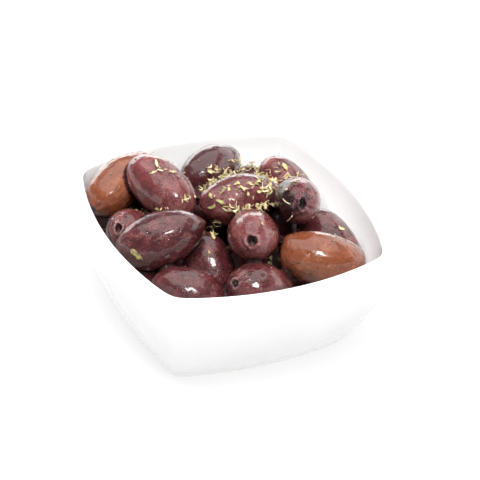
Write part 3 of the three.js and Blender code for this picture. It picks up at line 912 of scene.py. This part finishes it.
drifted = drift_places(DRIFTS, land_seen, 21) + drift_places(FALLS, land_dropped, 22)
dry_surface = herb_surface("dry_oregano", STRAW, TAN, DRY_GREEN, green_share=0.18)
sprinkle(
    "oregano_scraps", drifted, dry_surface, seed=31,
    length=(0.9, 3.0), slimness=(0.18, 0.52), tilt=0.8, lift=0.9, curl=1.0,
)


# ---- The oregano leaves and the crumbs -------------------
# Leaves that stayed whole when the oregano was rubbed and kept some of their green, single bits
# that fell apart from the drifts, and dark crumbs of skin and leaf that stick to the oil.

LEAVES_SEEN = [
    (185, 199), (342, 229), (262, 223), (220, 226), (217, 222), (207, 228), (232, 161), (239, 163),
    (225, 175), (240, 171), (236, 184), (242, 188), (256, 184), (229, 189), (211, 196), (212, 207),
    (231, 210), (259, 192), (217, 170), (229, 170), (209, 184), (248, 205), (254, 164), (287, 177),
    (269, 182), (221, 202),
]
BITS_SEEN = [
    (154, 172), (174, 172), (179, 177), (166, 170), (158, 209), (166, 208), (130, 208), (104, 229),
    (189, 197), (209, 252), (270, 263), (287, 190), (209, 169), (216, 180), (248, 194), (253, 198),
]
BIG_LEAVES_SEEN = [(137, 255), (285, 167), (213, 236)]
CRUMBS_SEEN = [
    (288, 269), (311, 274), (293, 271), (263, 275), (271, 276), (262, 281), (240, 280), (136, 159),
    (167, 160), (179, 168), (305, 232), (318, 226), (233, 276), (236, 284), (250, 274), (298, 263),
]
GREEN_LEAF, OLD_LEAF, LEAF_SHADE = (0.234, 0.234, 0.081), (0.648, 0.522, 0.270), (0.20, 0.15, 0.06)
BIG_LEAF, BIG_LEAF_SHADE = (0.46, 0.39, 0.18), (0.10, 0.075, 0.035)
CRUMB_LIGHT, CRUMB = (0.06, 0.04, 0.02), (0.027, 0.018, 0.009)
leaf_surface = herb_surface("green_oregano", OLD_LEAF, LEAF_SHADE, GREEN_LEAF, green_share=0.25)
big_surface = herb_surface("whole_oregano", BIG_LEAF, BIG_LEAF_SHADE, GREEN_LEAF, green_share=0.0)
crumb_surface = herb_surface("dark_crumbs", CRUMB_LIGHT, CRUMB, CRUMB, green_share=0.0)
leaves, bits, big_leaves, crumbs = [
    [land_seen(*spot) for spot in spots]
    for spots in (LEAVES_SEEN, BITS_SEEN, BIG_LEAVES_SEEN, CRUMBS_SEEN)
]
sprinkle(
    "oregano_leaves", leaves, leaf_surface, seed=41,
    length=(1.6, 2.9), slimness=(0.4, 0.8), tilt=0.25, lift=0.1, curl=0.8,
)
sprinkle(
    "oregano_bits", bits, leaf_surface, seed=47,
    length=(1.0, 1.7), slimness=(0.45, 0.8), tilt=0.3, lift=0.1, curl=1.0,
)
sprinkle(
    "oregano_big_leaves", big_leaves, big_surface, seed=5173,
    length=(2.6, 5.2), slimness=(0.36, 0.48), tilt=0.05, lift=0.0, curl=0.3, wedge=0.2,
)
sprinkle(
    "dark_crumbs", crumbs, crumb_surface, seed=45,
    length=(0.7, 1.5), slimness=(0.5, 0.9), tilt=0.1, lift=0.0, curl=0.8,
)


# ---- The stalks ------------------------------------------
# Bits of broken oregano stalk, pale and thin as bristles, that lie among the scraps.

STALKS_SEEN = [
    ((284, 199), (291, 204)), ((288, 220), (293, 215)), ((237, 211), (236, 201)),
    ((262, 178), (266, 166)), ((259, 186), (258, 172)), ((270, 190), (276, 181)),
    ((214, 184), (224, 176)), ((226, 178), (238, 172)), ((242, 170), (252, 163)),
    ((264, 194), (262, 183)), ((268, 200), (260, 205)), ((248, 208), (240, 213)),
    ((300, 180), (290, 183)), ((205, 180), (213, 184)), ((256, 203), (268, 210)),
    ((150, 174), (158, 170)), ((181, 200), (190, 197)), ((226, 236), (232, 228)),
]
STALK_RADIUS, STALK_SIDES, STALK_STEPS = 0.13, 5, 6
STALK_LIFT = STALK_RADIUS + 0.35
LONGEST_STALK = 8.0  # a longer one would bridge a gap between olives
STALK_COLOR, STALK_SHADE = (0.738, 0.630, 0.414), (0.378, 0.279, 0.135)
DARKEST_STALK = 0.6
ANY_WAY = [0.3, -0.4, 0.86]  # only has to be along no stalk
SIDE_BOW, LIFT_BOW = (-0.5, 0.5), (-0.2, 0.5)
STALK_WAVER = (0.7, 1.35)  # its thinnest and thickest, in radii


def stalk_skin(start, end, draw):
    """A round profile carried from start to end along a bow: middle = mix + bow 4 s (1 - s), with
    a radius that wavers, and closed at both ends."""
    start, end = np.array(start), np.array(end)
    share = np.linspace(0, 1, STALK_STEPS)[:, None]
    along = (end - start) / np.linalg.norm(end - start)
    side = np.cross(along, ANY_WAY)
    side /= np.linalg.norm(side)
    other = np.cross(along, side)
    bow = side * draw.uniform(*SIDE_BOW) + other * draw.uniform(*LIFT_BOW)
    middle = start + (end - start) * share + bow * 4 * share * (1 - share)
    around = np.linspace(0, 2 * np.pi, STALK_SIDES, endpoint=False)
    radius = STALK_RADIUS * draw.uniform(*STALK_WAVER, (STALK_STEPS, 1, 1))
    ring = np.cos(around)[:, None] * side + np.sin(around)[:, None] * other
    return closed_skin(middle[0], middle[:, None] + radius * ring, middle[-1])


draw = np.random.default_rng(51)
stalks = []
for first, second in STALKS_SEEN:
    (start, start_facing), (end, end_facing) = land_seen(*first), land_seen(*second)
    if start is not None and end is not None and (end - start).length < LONGEST_STALK:
        start, end = start + start_facing * STALK_LIFT, end + end_facing * STALK_LIFT
        stalks.append(stalk_skin(start, end, draw))
stalk_tones = draw.uniform(0, DARKEST_STALK, sum(len(points) for points, faces in stalks))
stalk_surface = herb_surface("oregano_stalk", STALK_COLOR, STALK_SHADE, DRY_GREEN, green_share=0.1)
stalk_piece = make_piece("oregano_stalks", stalks, stalk_surface, {"tone": stalk_tones})
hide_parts("olives")


# ---- The table and the light -----------------------------
# A plain white table, lit from within, in a white studio. A low bank behind, one at the right
# and a panel overhead show in the oil, and a small bright lamp in front gives the sparkle.

TABLE_SIZE = 8.0
TABLE_GREY, TABLE_GLOW = (0.14, 0.14, 0.14), 0.745
WHITE = (1.0, 1.0, 1.0)
STUDIO_TINT, STUDIO_GLOW = (0.95, 0.97, 1.0, 1.0), 0.20
HEAP_MIDDLE = 0.03  # the height in metres that the lights face
FILL = (0.6, 0.6)

floor_mesh = bpy.data.meshes.new("floor")
edge = TABLE_SIZE / 2
floor_corners = [(-edge, -edge, 0), (edge, -edge, 0), (edge, edge, 0), (-edge, edge, 0)]
floor_mesh.from_pydata(floor_corners, [], [(0, 1, 2, 3)])
floor_surface = Surface(
    "lit_table", Base_Color=TABLE_GREY, Roughness=0.6, Emission_Color=WHITE, Emission_Strength=TABLE_GLOW
)
floor_mesh.materials.append(floor_surface.material)
floor = put_in("floor", floor_mesh)


def soft_light(name, azimuth, height, distance, size, glow, mirrored=True):
    """An area light that faces the dish from that side (0 is the front) and height, in degrees
    and metres. Glow is how bright its face is: power = glow x pi x area. A light that isn't
    mirrored is crossed with a polariser, so it leaves no shine."""
    turn, lean = math.radians(azimuth), math.radians(height)
    way = Vector((math.sin(turn) * math.cos(lean), -math.cos(turn) * math.cos(lean), math.sin(lean)))
    data = bpy.data.lights.new(name, "AREA")
    data.shape, data.size, data.size_y = "RECTANGLE", *size
    data.energy = glow * math.pi * size[0] * size[1]
    lamp = put_in(name, data)
    lamp.location = way * distance + Vector((0, 0, HEAP_MIDDLE))
    lamp.rotation_mode = "QUATERNION"
    lamp.rotation_quaternion = way.to_track_quat("Z", "Y")
    lamp.visible_camera = False
    lamp.visible_glossy = mirrored


soft_light("bank_behind", azimuth=170, height=8, distance=1.3, size=(1.5, 0.40), glow=2.9)
soft_light("bank_right", azimuth=96, height=22, distance=1.1, size=(1.8, 0.6), glow=1.5)
soft_light("sky_panel", azimuth=170, height=80, distance=1.0, size=(1.5, 1.5), glow=1.4)
soft_light("front_lamp", azimuth=-6, height=49, distance=1.0, size=(0.26, 0.20), glow=24.0)
soft_light("fill_left", azimuth=-95, height=66, distance=1.1, size=FILL, glow=12.6, mirrored=False)
soft_light("fill_front", azimuth=-5, height=68, distance=1.1, size=FILL, glow=6.9, mirrored=False)

world = bpy.data.worlds.new("studio")
scene.world = world
world.use_nodes = True
studio = world.node_tree.nodes["Background"]
studio.inputs["Color"].default_value = STUDIO_TINT
studio.inputs["Strength"].default_value = STUDIO_GLOW
scene.view_settings.view_transform = "Standard"
scene.cycles.use_denoising = True
